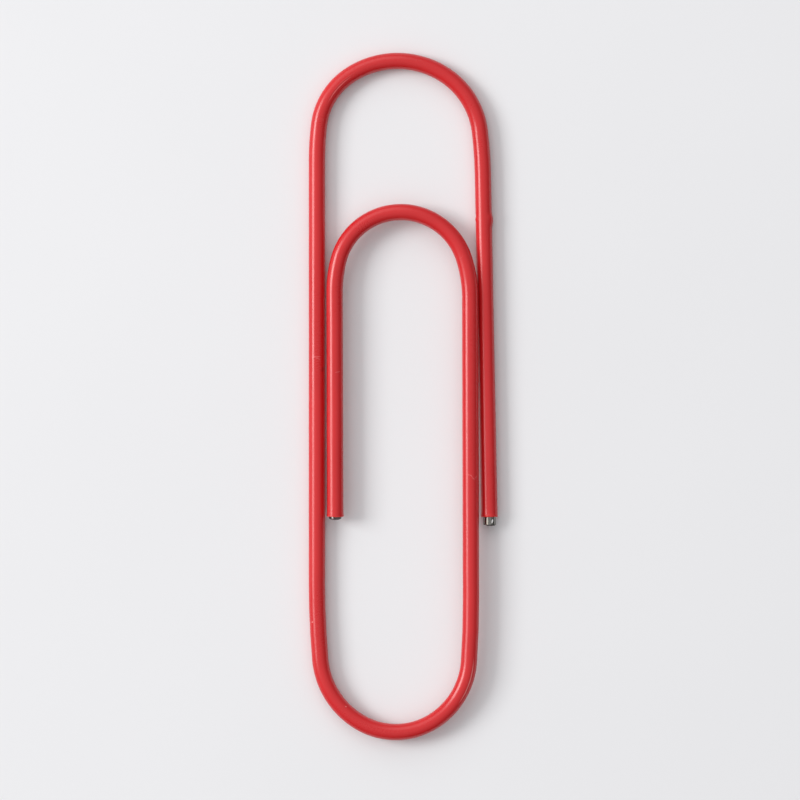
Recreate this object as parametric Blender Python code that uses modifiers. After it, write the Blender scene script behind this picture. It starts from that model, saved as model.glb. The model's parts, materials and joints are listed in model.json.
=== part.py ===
"""Jumbo paper clip of vinyl-coated steel wire, lying flat.

One wire runs from the outer tip up the outer leg, round the top bend, down the frame leg, round the
bottom bend, up the tongue leg, round the inner bend and down the inner leg to the inner tip.  Every
bend turns left.  The clip springs open by twisting the wire at the crown of each bend, so the wire
and its coating are built in four stretches that meet at those crowns:

    outer_leg   outer tip to the crown of the top bend
    frame       crown of the top bend to the crown of the bottom bend
    tongue      crown of the bottom bend to the crown of the inner bend
    inner_leg   crown of the inner bend to the inner tip

+Y runs along the clip to its top bend, +X to its outer leg and +Z up.  The origin is at the middle
of the surface that the clip lies on.
"""

import math

import bpy
from mathutils import Vector

# Driving dimensions, in metres and degrees.
CLIP_LENGTH = 0.1000            # over the coating, from the top bend to the bottom bend
WIRE_DIAMETER = 0.0018          # bare steel core
COATING_WALL = 0.0003           # vinyl round the steel
TOP_SPAN = 0.02415              # frame leg to outer leg at the top bend, centre to centre
BOTTOM_SPAN = 0.0224            # frame leg to tongue leg at the bottom bend, centre to centre
OUTER_LEG_RUN = 0.0510          # straight run of the outer leg, with its bare tip
TONGUE_LEG_RUN = 0.0439         # straight run of the tongue leg
INNER_LEG_RUN = 0.0328          # straight run of the inner leg, with its bare tip
OUTER_TIP_BARE = 0.0011         # steel that stands out of the coating at the outer tip
INNER_TIP_BARE = 0.0002         # steel that stands out of the coating at the inner tip
OUTER_LEG_SPLAY = 1.1           # the outer leg leans out from the frame leg, towards its tip
TONGUE_LEAN = 0.15              # the tongue leg leans in towards the frame leg

# Clearances.
NEST_GAP = 0.0002               # coating to coating, where the inner leg lies beside the frame leg
CROSSING_GAP = 0.0001           # coating to coating, where the tongue leg rides over the outer leg
CORE_FIT = 0.00002              # steel to the coating's bore, so that the two solids stay apart
CROWN_GAP = 0.0003              # between the ends of two stretches, at the crown of a bend

# Each bend is five arcs: a lead-in, a shoulder, a crown, a shoulder and a lead-out, in the order in
# which the wire is fed.  An arc is (radius over half the bend's span, turn in degrees), and the
# crown has no turn of its own: it takes what the other four leave.
TOP_BEND = ((4.99, 6), (0.95, 52), (1.05, None), (0.84, 50), (3.50, 7))
BOTTOM_BEND = ((11.5, 5), (1.05, 54), (0.92, None), (1.00, 51), (11.5, 4))
INNER_BEND = ((1.88, 18), (0.98, 55), (0.96, None), (0.93, 47), (1.93, 14))

# Facets.  Four more sides than twice SIDE_PAIRS puts a flat under the wire and a corner at its side.
SIDE_PAIRS = 5
SIDES = 4 + 2 * SIDE_PAIRS
ARC_STEP = 9.0                  # turn between two rings, in degrees
END_RING = 0.0002               # from a stretch's end to the ring just inside it
SAMPLE_STEP = 0.0005            # spacing of the points that measure how close two legs come

COATED_DIAMETER = WIRE_DIAMETER + 2 * COATING_WALL
FLAT_TO_CORNER = math.cos(math.pi / SIDES)
WIRE_HEIGHT = COATED_DIAMETER / 2 * FLAT_TO_CORNER

# Headings, counted anticlockwise from +X and never wrapped.  The frame leg runs along -Y.
TOP_CROWN_HEADING = math.radians(180)
FRAME_HEADING = math.radians(270)
BOTTOM_CROWN_HEADING = math.radians(360)
INNER_CROWN_HEADING = math.radians(540)

VINYL_RED = (0.60, 0.030, 0.034, 1.0)
STEEL_GREY = (0.45, 0.44, 0.42, 1.0)


def advance(place, length, turn, distance):
    """Move distance along a run of the given length and turn, which starts at place."""
    x, y, heading = place
    if turn == 0:
        return (x + distance * math.cos(heading), y + distance * math.sin(heading), heading)
    radius = length / turn
    after = heading + distance / radius
    x += radius * (math.sin(after) - math.sin(heading))
    y -= radius * (math.cos(after) - math.cos(heading))
    return (x, y, after)


def follow(runs, place):
    """The place at the end of a list of runs."""
    for length, turn in runs:
        place = advance(place, length, turn, length)
    return place


def bend_runs(shape, heading, total_turn, across):
    """The arcs of a bend, as (length, turn), sized so that its two ends lie across apart in X."""
    crown_turn = total_turn - sum(math.radians(turn) for _, turn in shape if turn is not None)
    arcs = []
    for share, turn in shape:
        turn = crown_turn if turn is None else math.radians(turn)
        arcs.append((share * turn, turn))
    unit_across = abs(follow(arcs, (0.0, 0.0, heading))[0])
    size = across / unit_across
    return [(length * size, turn) for length, turn in arcs]


class Wire:
    """The centreline of the whole wire, measured by the distance from the outer tip."""

    def __init__(self):
        splay = math.radians(OUTER_LEG_SPLAY)
        lean = math.radians(TONGUE_LEAN)
        outer_heading = FRAME_HEADING - math.pi + splay
        tongue_heading = FRAME_HEADING + math.pi + lean
        top = bend_runs(TOP_BEND, outer_heading, math.pi - splay, TOP_SPAN)
        bottom = bend_runs(BOTTOM_BEND, FRAME_HEADING, math.pi + lean, BOTTOM_SPAN)
        inner_span = BOTTOM_SPAN - TONGUE_LEG_RUN * math.sin(lean) - COATED_DIAMETER - NEST_GAP
        inner = bend_runs(INNER_BEND, tongue_heading, math.pi, inner_span)
        before = [(OUTER_LEG_RUN, 0.0)] + top
        after = bottom + [(TONGUE_LEG_RUN, 0.0)] + inner + [(INNER_LEG_RUN, 0.0)]
        self.start_heading = outer_heading
        self.rise = 0.0
        self.lay(before + after)
        frame_leg = CLIP_LENGTH - COATED_DIAMETER - self.crown_depth()
        self.lay(before + [(frame_leg, 0.0)] + after)
        self.rise_start = sum(length for length, _ in before) + frame_leg
        self.rise_end = self.rise_start + sum(length for length, _ in bottom)
        self.rise = self.crossing_rise()

    def lay(self, runs):
        """Place the runs one after the other and centre the coated wire over the origin."""
        self.runs = runs
        self.length = sum(length for length, _ in runs)
        self.offset = (0.0, 0.0)
        coated = self.samples(OUTER_TIP_BARE, self.length - INNER_TIP_BARE)
        xs = [point.x for point in coated]
        ys = [point.y for point in coated]
        self.offset = (-(min(xs) + max(xs)) / 2, -(min(ys) + max(ys)) / 2)

    def crown_depth(self):
        """How far the top bend's crown lies above the bottom bend's crown."""
        top = self.at(self.distance_at(TOP_CROWN_HEADING))
        bottom = self.at(self.distance_at(BOTTOM_CROWN_HEADING))
        return top.y - bottom.y

    def crossing_rise(self):
        """How far the tongue is lifted, so that its leg rides over the outer leg with a gap."""
        outer = self.samples(0.0, self.distance_at(TOP_CROWN_HEADING))
        tongue = self.samples(self.rise_end, self.length)
        closest = min((a - b).length for a in outer for b in tongue)
        needed = COATED_DIAMETER + CROSSING_GAP
        return math.sqrt(max(0.0, needed ** 2 - closest ** 2))

    def at(self, distance):
        """The point of the centreline at a distance from the outer tip."""
        place = (0.0, 0.0, self.start_heading)
        left = distance
        for length, turn in self.runs:
            if left <= length:
                break
            place = advance(place, length, turn, length)
            left -= length
        x, y, _ = advance(place, length, turn, min(left, length))
        return Vector((x + self.offset[0], y + self.offset[1], WIRE_HEIGHT + self.lift(distance)))

    def lift(self, distance):
        """The wire climbs to the tongue's height round the bottom bend, with no kink at either end."""
        if self.rise == 0:
            return 0.0
        share = (distance - self.rise_start) / (self.rise_end - self.rise_start)
        share = min(max(share, 0.0), 1.0)
        return self.rise * share * share * (3 - 2 * share)

    def distance_at(self, heading):
        """The distance at which the wire first points along a heading."""
        so_far = 0.0
        at_start = self.start_heading
        for length, turn in self.runs:
            if turn > 0 and at_start <= heading <= at_start + turn:
                return so_far + length * (heading - at_start) / turn
            so_far += length
            at_start += turn
        raise ValueError("the wire never points along that heading")

    def samples(self, first, last):
        """Points at an even spacing along a stretch."""
        count = math.ceil((last - first) / SAMPLE_STEP)
        return [self.at(first + (last - first) * i / count) for i in range(count + 1)]

    def rings(self, first, last):
        """Points along a stretch, close together on the bends and only at the ends of a straight.

        A ring just inside each end keeps the end face square to the wire.
        """
        distances = []
        so_far = 0.0
        for length, turn in self.runs:
            steps = max(1, math.ceil(math.degrees(turn) / ARC_STEP))
            distances += [so_far + length * i / steps for i in range(steps)]
            so_far += length
        inside = [d for d in distances if first + 2 * END_RING < d < last - 2 * END_RING]
        return [self.at(d) for d in [first, first + END_RING] + inside + [last - END_RING, last]]


def finish_material(name, colour, roughness, metallic):
    """A plain Principled finish for one part."""
    material = bpy.data.materials.new(name)
    material.use_nodes = True
    shader = material.node_tree.nodes["Principled BSDF"]
    shader.inputs["Base Color"].default_value = colour
    shader.inputs["Roughness"].default_value = roughness
    shader.inputs["Metallic"].default_value = metallic
    material.diffuse_color = colour
    return material


def wire_tube(name, points, diameter, capped, parent, collection):
    """A tube of the given diameter along the points, with its flats up and down."""
    curve = bpy.data.curves.new(name, "CURVE")
    curve.dimensions = "3D"
    curve.twist_mode = "Z_UP"
    curve.bevel_depth = diameter / 2
    curve.bevel_resolution = SIDE_PAIRS
    curve.use_fill_caps = capped
    spline = curve.splines.new("POLY")
    spline.points.add(len(points) - 1)
    origin = parent.location if parent else Vector()
    for spline_point, point in zip(spline.points, points):
        spline_point.co = (*(point - origin), 1.0)
    spline.use_smooth = True
    tube = bpy.data.objects.new(name, curve)
    tube.parent = parent
    collection.objects.link(tube)
    return tube


def steel_core(name, wire, first, last, parent, collection):
    """A stretch of the bare wire."""
    core = wire_tube(name, wire.rings(first, last), WIRE_DIAMETER, True, parent, collection)
    core.data.materials.append(finish_material(name + "_steel", STEEL_GREY, 0.35, 1.0))


def vinyl_coating(name, wire, first, last, parent, collection):
    """A stretch of the coating: an open tube at its outside, with its wall turned inwards."""
    sleeve = wire_tube(name, wire.rings(first, last), COATED_DIAMETER, False, parent, collection)
    wall = sleeve.modifiers.new("wall", "SOLIDIFY")
    wall.thickness = COATING_WALL - CORE_FIT
    wall.offset = -1.0
    wall.use_even_offset = False
    wall.use_rim = True
    sleeve.data.materials.append(finish_material(name + "_vinyl", VINYL_RED, 0.32, 0.0))


def crown_empty(name, wire, heading, collection):
    """An empty on the wire's own axis at the crown of a bend, where the wire twists."""
    empty = bpy.data.objects.new(name, None)
    empty.empty_display_size = COATED_DIAMETER
    empty.location = wire.at(wire.distance_at(heading))
    collection.objects.link(empty)
    return empty


def clear_scene():
    """Remove whatever the file opened with."""
    for old in list(bpy.data.objects):
        bpy.data.objects.remove(old, do_unlink=True)


def build_clip():
    """The four stretches, each hung on the crown of the bend that it flexes about."""
    clear_scene()
    collection = bpy.data.collections.new("paper_clip")
    bpy.context.scene.collection.children.link(collection)

    wire = Wire()
    top = wire.distance_at(TOP_CROWN_HEADING)
    bottom = wire.distance_at(BOTTOM_CROWN_HEADING)
    inner = wire.distance_at(INNER_CROWN_HEADING)
    gap = CROWN_GAP / 2
    tip = wire.length

    outer_leg = crown_empty("outer_leg_crown", wire, TOP_CROWN_HEADING, collection)
    tongue = crown_empty("tongue_crown", wire, BOTTOM_CROWN_HEADING, collection)
    inner_leg = crown_empty("inner_leg_crown", wire, INNER_CROWN_HEADING, collection)

    # name, crown that it hangs on, where its steel starts and ends, where its coating starts and ends
    stretches = (
        ("outer_leg", outer_leg, 0.0, top - gap, OUTER_TIP_BARE, top - gap),
        ("frame", None, top + gap, bottom - gap, top + gap, bottom - gap),
        ("tongue", tongue, bottom + gap, inner - gap, bottom + gap, inner - gap),
        ("inner_leg", inner_leg, inner + gap, tip, inner + gap, tip - INNER_TIP_BARE),
    )
    for name, crown, steel_first, steel_last, vinyl_first, vinyl_last in stretches:
        steel_core(name + "_wire", wire, steel_first, steel_last, crown, collection)
        vinyl_coating(name + "_coating", wire, vinyl_first, vinyl_last, crown, collection)


build_clip()
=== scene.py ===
# %% [markdown]
# # A jumbo paper clip in vinyl-coated steel wire
# The real clip is two pieces: one steel wire, and one thin vinyl tube that was extruded on the wire
# before it was bent. This script draws both the way a wire bender feeds them, as a ring that is
# pulled along the straight legs and spun round each bend, and then finishes the cut ends, the small
# marks and the two materials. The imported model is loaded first, and every position comes from it.

# %% Load the frame
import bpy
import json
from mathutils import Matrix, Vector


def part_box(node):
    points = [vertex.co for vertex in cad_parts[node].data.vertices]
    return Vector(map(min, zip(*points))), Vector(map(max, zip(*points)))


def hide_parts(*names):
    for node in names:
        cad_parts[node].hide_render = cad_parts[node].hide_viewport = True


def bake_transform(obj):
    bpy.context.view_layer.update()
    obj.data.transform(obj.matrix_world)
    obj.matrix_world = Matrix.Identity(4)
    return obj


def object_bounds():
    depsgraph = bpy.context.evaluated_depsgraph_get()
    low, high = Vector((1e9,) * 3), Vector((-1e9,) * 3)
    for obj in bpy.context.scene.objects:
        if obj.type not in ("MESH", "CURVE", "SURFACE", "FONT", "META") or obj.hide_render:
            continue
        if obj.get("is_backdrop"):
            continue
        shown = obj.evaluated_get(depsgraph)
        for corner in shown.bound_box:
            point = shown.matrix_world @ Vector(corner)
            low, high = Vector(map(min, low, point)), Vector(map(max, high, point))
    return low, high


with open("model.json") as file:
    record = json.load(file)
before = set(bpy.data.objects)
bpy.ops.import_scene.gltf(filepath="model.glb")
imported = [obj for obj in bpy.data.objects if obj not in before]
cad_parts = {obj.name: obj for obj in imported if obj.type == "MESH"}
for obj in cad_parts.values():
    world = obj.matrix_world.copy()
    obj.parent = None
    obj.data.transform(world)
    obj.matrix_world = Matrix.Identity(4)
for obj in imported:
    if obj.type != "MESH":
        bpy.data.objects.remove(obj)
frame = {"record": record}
cad_box = [list(corner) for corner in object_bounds()]

import json
import math

import bmesh
import bpy
import numpy as np
from mathutils import Vector

# %% [markdown]
# ## What the model already says
# A clip springs by twisting its wire at the crown of each bend, so the joints lie on the wire's own
# axis. That makes them the best landmarks there are: each bend below is hung on its joint. The
# tongue rides over the outer leg, and the height between two joints says by how much.

# %% Landmarks
crowns = {joint["name"]: Vector(joint["pos_m"]) for joint in frame["record"]["behaviour"]["joints"]}
top_crown = crowns["outer_leg_flex"]
bottom_crown = crowns["tongue_flex"]
inner_crown = crowns["inner_leg_flex"]
tongue_rise = inner_crown.z - top_crown.z
coat_low, coat_high = (Vector(corner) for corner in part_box("outer_leg_coating"))
coat_height = coat_high.z - coat_low.z
for name, crown in crowns.items():
    print(name, [round(value * 1000, 3) for value in crown], "mm")
print("coating", round(coat_height * 1000, 3), "mm high, tongue lifted", round(tongue_rise * 1000, 3), "mm")

# %% [markdown]
# ## The sizes of the wire
# Coated wire is specified by the diameter of its steel and the wall of its coating. The legs are
# straight, and each bend is five arcs, because a bender's tooling leads in, rolls round and leads
# out. An arc here is a share of half the bend's span and a turn in degrees. The crown arc has no turn
# of its own and takes what the others leave.

# %% Sizes, in metres and degrees
COAT_WIDTH = 0.0024
COAT_WALL = 0.00028
STEEL_DIAMETER = 0.0018
OUTER_LEG = 0.0510
TONGUE_LEG = 0.0439
INNER_LEG = 0.0328
OUTER_BARE = 0.0011
INNER_BARE = 0.0002
END_LENGTH = 0.0016
SPLAY = math.radians(1.1)
LEAN = math.radians(0.15)
NEST_GAP = 0.0002
TOP_SPAN = 0.02415
BOTTOM_SPAN = 0.0224
INNER_SPAN = BOTTOM_SPAN - TONGUE_LEG * math.sin(LEAN) - COAT_WIDTH - NEST_GAP
TOP_BEND = ((4.99, 6), (0.95, 52), (1.05, None), (0.84, 50), (3.50, 7))
BOTTOM_BEND = ((11.5, 5), (1.05, 54), (0.92, None), (1.00, 51), (11.5, 4))
INNER_BEND = ((1.88, 18), (0.98, 55), (0.96, None), (0.93, 47), (1.93, 14))
UP = math.radians(90)
LEFT = math.radians(180)
DOWN = math.radians(270)
RIGHT = math.radians(360)


def walk(place, length, turn):
    """Where a run of this length and turn ends."""
    x, y, heading = place
    if turn == 0:
        return x + length * math.cos(heading), y + length * math.sin(heading), heading
    radius = length / turn
    after = heading + turn
    return (x + radius * (math.sin(after) - math.sin(heading)),
            y - radius * (math.cos(after) - math.cos(heading)), after)


def bend_arcs(shape, heading, whole_turn, span):
    """The arcs of a bend, as (length, turn), sized so that its two ends lie span apart."""
    spare = whole_turn - sum(math.radians(turn) for _, turn in shape if turn is not None)
    turns = [spare if turn is None else math.radians(turn) for _, turn in shape]
    arcs = [(share * turn, turn) for (share, _), turn in zip(shape, turns)]
    place = (0.0, 0.0, heading)
    for arc in arcs:
        place = walk(place, *arc)
    size = span / abs(place[0])
    return [(length * size, turn) for length, turn in arcs]


top_arcs = bend_arcs(TOP_BEND, UP + SPLAY, math.pi - SPLAY, TOP_SPAN)
bottom_arcs = bend_arcs(BOTTOM_BEND, DOWN, math.pi + LEAN, BOTTOM_SPAN)
inner_arcs = bend_arcs(INNER_BEND, UP + LEAN, math.pi, INNER_SPAN)
print("bends", [round(sum(length for length, _ in arcs) * 1000, 2)
                for arcs in (top_arcs, bottom_arcs, inner_arcs)], "mm along the wire")

# %% [markdown]
# ## Hanging a bend on its crown
# A run of wire is easy to lay out from its start, but what is known here is the crown. So the run is
# walked once from nowhere, its crown is found, and the start is put where the crown lands on the
# joint. The frame leg is what is left between the top bend and the bottom bend.

# %% Where each piece starts


def crown_of(runs, heading, crown_heading):
    """The crown of a chain of runs that starts at nowhere."""
    place = (0.0, 0.0, heading)
    for length, turn in runs:
        if turn and place[2] <= crown_heading <= place[2] + turn:
            share = (crown_heading - place[2]) / turn
            return walk(place, length * share, turn * share)
        place = walk(place, length, turn)


def end_of(runs, heading):
    """The end of a chain of runs that starts at nowhere."""
    place = (0.0, 0.0, heading)
    for run in runs:
        place = walk(place, *run)
    return place


top_depth = (crown_of(top_arcs, UP + SPLAY, LEFT)[1]
             - end_of(top_arcs, UP + SPLAY)[1])
bottom_depth = -crown_of(bottom_arcs, DOWN, RIGHT)[1]
frame_leg = (top_crown.y - top_depth) - (bottom_crown.y + bottom_depth)
print("frame leg", round(frame_leg * 1000, 3), "mm")

# %% [markdown]
# ## Pulling a ring into a tube
# A tube can be a curve with a bevel, or a ring of points that is extruded. The ring is used, because every
# ring then stays where it was put, and the cut ends and the small bump can be shaped one by one afterwards.
# Extrude Repeat pulls it along a leg, and Spin turns it round an arc. Spin counts its angle clockwise about
# an axis that points at the viewer, so a left turn is a negative one. Each ring notes how far along the
# wire it is, so that a finish can later follow the wire round its bends.

# %% The wire bender
COAT_SIDES = 48
STEEL_SIDES = 40
ARC_STEP = math.radians(2.0)
END_STEP = 0.00005
BUMP_STEP = 0.00008
OUTER_LEG_STEP = 0.0005
LEG_STEP = 0.0006
STEEL_END_STEP = 0.0001
STEEL_FREE_STEP = 0.0010
STEEL_LEG_STEP = 0.0012


def leg(length, step):
    """A straight run, as (length, turn, steps)."""
    return (length, 0.0, max(1, round(length / step)))


def arcs(bend):
    """The arcs of a bend, as (length, turn, steps)."""
    return [(length, turn, max(2, math.ceil(turn / ARC_STEP))) for length, turn in bend]


def alone():
    """Leave edit mode and deselect everything."""
    if bpy.context.object and bpy.context.object.mode != "OBJECT":
        bpy.ops.object.mode_set(mode="OBJECT")
    bpy.ops.object.select_all(action="DESELECT")


def only(piece):
    """Select one piece and nothing else, and make it the active one."""
    alone()
    piece.select_set(True)
    bpy.context.view_layer.objects.active = piece


def bend_wire(name, runs, crown, heading, crown_heading, start_along, sides, width, height):
    """Pull a ring of the given size through the runs, hung on its crown."""
    x, y, _ = crown_of([run[:2] for run in runs], heading, crown_heading)
    place = (crown.x - x, crown.y - y, heading)
    alone()
    bpy.ops.mesh.primitive_circle_add(
        vertices=sides, radius=width / 2, location=(place[0], place[1], crown.z),
        rotation=(UP, 0.0, heading - UP))
    tube = bpy.context.object
    tube.name = tube.data.name = name
    bpy.ops.object.transform_apply(location=True, rotation=True, scale=True)
    bpy.ops.object.mode_set(mode="EDIT")
    bpy.ops.mesh.select_all(action="SELECT")
    bpy.ops.transform.resize(value=(1.0, 1.0, height / width),
                             center_override=(place[0], place[1], crown.z))
    rings = [(*place, start_along)]
    for length, turn, steps in runs:
        if turn:
            radius = length / turn
            centre = (place[0] - radius * math.sin(place[2]),
                      place[1] + radius * math.cos(place[2]), crown.z)
            bpy.ops.mesh.spin(steps=steps, angle=-turn, center=centre, axis=(0, 0, 1))
        else:
            ahead = length / steps
            bpy.ops.mesh.extrude_repeat(
                steps=steps, offset=(ahead * math.cos(place[2]), ahead * math.sin(place[2]), 0.0))
        begin = place
        for step in range(1, steps + 1):
            place = walk(begin, length * step / steps, turn * step / steps)
            rings.append((*place, rings[-1][3] + length / steps))
    bpy.ops.mesh.select_all(action="SELECT")
    bpy.ops.mesh.normals_make_consistent(inside=False)
    bpy.ops.object.mode_set(mode="OBJECT")
    rings = np.array(rings)
    points = np.array([vertex.co for vertex in tube.data.vertices]).reshape(-1, sides, 3)
    strayed = np.abs(points.mean(axis=1)[:, :2] - rings[:, :2]).max()
    print(name, len(rings), "rings,", round(strayed * 1e6, 2), "micrometres off the plan at most")
    return tube, rings


def note_straightened(tube, rings, sides, centre_height):
    """Store where each point would be if the wire were pulled straight: along, across and up."""
    points = np.array([vertex.co for vertex in tube.data.vertices])
    x, y, heading, along = np.repeat(rings, sides, axis=0).T
    across = (points[:, 0] - x) * np.sin(heading) - (points[:, 1] - y) * np.cos(heading)
    straight = np.stack([along, across, points[:, 2] - centre_height], axis=1)
    layer = tube.data.attributes.new("straightened", "FLOAT_VECTOR", "POINT")
    layer.data.foreach_set("vector", straight.astype(np.float32).ravel())
    return straight


print("a ring of", COAT_SIDES, "points for the coating and", STEEL_SIDES, "for the steel")

# %% [markdown]
# ## The three lengths of coating
# The real coating is one tube. Here it is drawn in three lengths that meet in the middle of a leg, where
# the clip doesn't flex, because a piece can blend between only two bodies. Each holds one whole bend.
# Rings are closer together at the cut ends and at the bump on the outer leg, where there is something
# small to shape.

# %% The top bend, from the outer end to the middle of the frame leg
BUMP_Y = 0.0256
BUMP_LENGTH = 0.0040
top_start_y = top_crown.y - crown_of([(OUTER_LEG - OUTER_BARE, 0.0)] + top_arcs, UP + SPLAY, LEFT)[1]
to_bump = (BUMP_Y - top_start_y) / math.cos(SPLAY) - BUMP_LENGTH / 2 - END_LENGTH
after_bump = OUTER_LEG - OUTER_BARE - END_LENGTH - to_bump - BUMP_LENGTH
top_runs = [leg(END_LENGTH, END_STEP), leg(to_bump, OUTER_LEG_STEP), leg(BUMP_LENGTH, BUMP_STEP),
            leg(after_bump, OUTER_LEG_STEP), *arcs(top_arcs), leg(frame_leg / 2, LEG_STEP)]
top_coat, top_rings = bend_wire("top_bend_coating", top_runs, top_crown, UP + SPLAY, LEFT,
                                OUTER_BARE, COAT_SIDES, COAT_WIDTH, coat_height)
note_straightened(top_coat, top_rings, COAT_SIDES, top_crown.z)
print("top bend", len(top_rings), "rings")

# %% The bottom bend, from the middle of the frame leg to the middle of the tongue leg
bottom_runs = [leg(frame_leg / 2, LEG_STEP), *arcs(bottom_arcs), leg(TONGUE_LEG / 2, LEG_STEP)]
bottom_level = Vector((bottom_crown.x, bottom_crown.y, top_crown.z))
bottom_coat, bottom_rings = bend_wire("bottom_bend_coating", bottom_runs, bottom_level, DOWN, RIGHT,
                                      top_rings[-1][3], COAT_SIDES, COAT_WIDTH, coat_height)
note_straightened(bottom_coat, bottom_rings, COAT_SIDES, top_crown.z)
print("bottom bend", len(bottom_rings), "rings")

# %% The inner bend, from the middle of the tongue leg to the inner end
INNER_START = UP + LEAN + 2 * math.pi
inner_runs = [leg(TONGUE_LEG / 2, LEG_STEP), *arcs(inner_arcs),
              leg(INNER_LEG - INNER_BARE - END_LENGTH, LEG_STEP), leg(END_LENGTH, END_STEP)]
inner_coat, inner_rings = bend_wire("inner_bend_coating", inner_runs, inner_crown, INNER_START,
                                    INNER_START + UP - LEAN, bottom_rings[-1][3],
                                    COAT_SIDES, COAT_WIDTH, coat_height)
note_straightened(inner_coat, inner_rings, COAT_SIDES, inner_crown.z)
print("inner bend", len(inner_rings), "rings")

# %% [markdown]
# ## Lifting the tongue
# The tongue leg crosses on top of the outer leg, so the wire climbs while it goes round the bottom
# bend. Each point is raised by how far along the bend it is, on a curve that starts and ends level,
# so there is no kink where the climb begins or stops.

# %% The climb round the bottom bend
climb_start = bottom_rings[0][3] + frame_leg / 2
climb_length = sum(length for length, _ in bottom_arcs)


def climb(tube):
    """Raise the points of a flat bottom bend."""
    count = len(tube.data.vertices)
    straight = np.empty(count * 3, np.float32)
    tube.data.attributes["straightened"].data.foreach_get("vector", straight)
    share = np.clip((straight.reshape(-1, 3)[:, 0] - climb_start) / climb_length, 0.0, 1.0)
    points = np.empty(count * 3, np.float32)
    tube.data.vertices.foreach_get("co", points)
    points = points.reshape(-1, 3)
    points[:, 2] += tongue_rise * share * share * (3 - 2 * share)
    tube.data.vertices.foreach_set("co", points.ravel())
    tube.data.update()


climb(bottom_coat)
print("climbs", round(tongue_rise * 1000, 3), "mm over", round(climb_length * 1000, 1), "mm of wire")

# %% [markdown]
# ## The bump on the outer leg
# The vinyl has a small swelling on the outer side of the outer leg, with a nick opposite it, where
# something pressed on it while it was soft. Proportional editing is the way to make such a shape: one
# point is moved and its neighbours follow, less and less with distance.

# %% Bump and nick


def pull_point(tube, target, move, reach, falloff="SMOOTH"):
    """Move the point nearest a target, with its neighbours within reach."""
    only(tube)
    bpy.ops.object.mode_set(mode="EDIT")
    bpy.ops.mesh.select_mode(type="VERT")
    bpy.ops.mesh.select_all(action="DESELECT")
    mesh = bmesh.from_edit_mesh(tube.data)
    nearest = min(mesh.verts, key=lambda vertex: (vertex.co - Vector(target)).length)
    nearest.select = True
    mesh.select_flush_mode()
    bmesh.update_edit_mesh(tube.data)
    bpy.ops.transform.translate(value=move, use_proportional_edit=True,
                                proportional_edit_falloff=falloff, proportional_size=reach)
    bpy.ops.object.mode_set(mode="OBJECT")


bump_ring = min(top_rings[:200], key=lambda ring: abs(ring[1] - BUMP_Y))
bump_x = bump_ring[0]
half = COAT_WIDTH / 2
# Across and up in half widths of the wire, ahead in metres; then the move, its reach and its falloff.
BUMP_PULLS = (
    ((1.0, 0.0, 0.0), (0.00017, 0.0, 0.0), 0.0014, "SMOOTH"),
    ((0.8, 0.0004, 0.6), (0.00008, 0.0, 0.00006), 0.0009, "SMOOTH"),
    ((-1.0, 0.0006, 0.0), (0.00012, 0.0, 0.0), 0.00042, "SHARP"),
    ((-0.9, 0.0001, 0.4), (-0.00010, 0.0, 0.00002), 0.00055, "SMOOTH"),
)
for (across, ahead, up), move, reach, falloff in BUMP_PULLS:
    target = (bump_x + half * across, BUMP_Y + ahead, top_crown.z + half * up)
    pull_point(top_coat, target, move, reach, falloff)
print("bump at y", round(bump_ring[1] * 1000, 2), "mm")

# %% [markdown]
# ## The cut ends of the coating
# Vinyl is soft, so a shear squeezes it out before it parts. The coating is a little fatter over its
# last millimetre, ends in a low bead, and its rim is lumpy. Rings near the end are scaled with
# proportional editing, which gives the swelling and the bead, and a Displace modifier that acts only
# near the end makes the rim uneven.

# %% Swell the ends


def swell_end(tube, rings, number, level, scale, shift, reach):
    """Scale and shift one ring of a coating, with its neighbours along the wire."""
    first = number % len(rings) * COAT_SIDES
    only(tube)
    bpy.ops.object.mode_set(mode="EDIT")
    bpy.ops.mesh.select_all(action="DESELECT")
    mesh = bmesh.from_edit_mesh(tube.data)
    mesh.verts.ensure_lookup_table()
    for vertex in mesh.verts[first:first + COAT_SIDES]:
        vertex.select = True
    mesh.select_flush_mode()
    bmesh.update_edit_mesh(tube.data)
    bpy.ops.transform.resize(value=(scale, 1.0, scale),
                             center_override=(rings[number][0], rings[number][1], level),
                             use_proportional_edit=True, proportional_edit_falloff="SMOOTH",
                             proportional_size=reach)
    bpy.ops.transform.translate(value=shift, use_proportional_edit=True,
                                proportional_edit_falloff="SMOOTH", proportional_size=reach)
    bpy.ops.object.mode_set(mode="OBJECT")


# The number of the ring, its scale, its shift and how far the change reaches: the swelling, the bead.
OUTER_SWELLS = ((0, 1.022, (-0.00001, 0.0, 0.000025), 0.0014),
                (4, 1.030, (-0.00001, 0.0, 0.000035), 0.00030))
INNER_SWELLS = ((-1, 1.018, (0.00001, 0.0, -0.00002), 0.0011),
                (-4, 1.024, (0.0, 0.0, -0.00003), 0.00026))
for swell in OUTER_SWELLS:
    swell_end(top_coat, top_rings, swell[0], top_crown.z, *swell[1:])
for swell in INNER_SWELLS:
    swell_end(inner_coat, inner_rings, swell[0], inner_crown.z, *swell[1:])
print("ends swollen and beaded")

# %% [markdown]
# ## An uneven skin
# Extruded vinyl is never perfectly round, and light shows it: the long highlight on a leg wanders.
# The Clouds texture lies in the piece's own space and pushes mostly inwards, so the clip grows no
# larger, and two lengths that meet get the same push at their meeting point.

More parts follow.
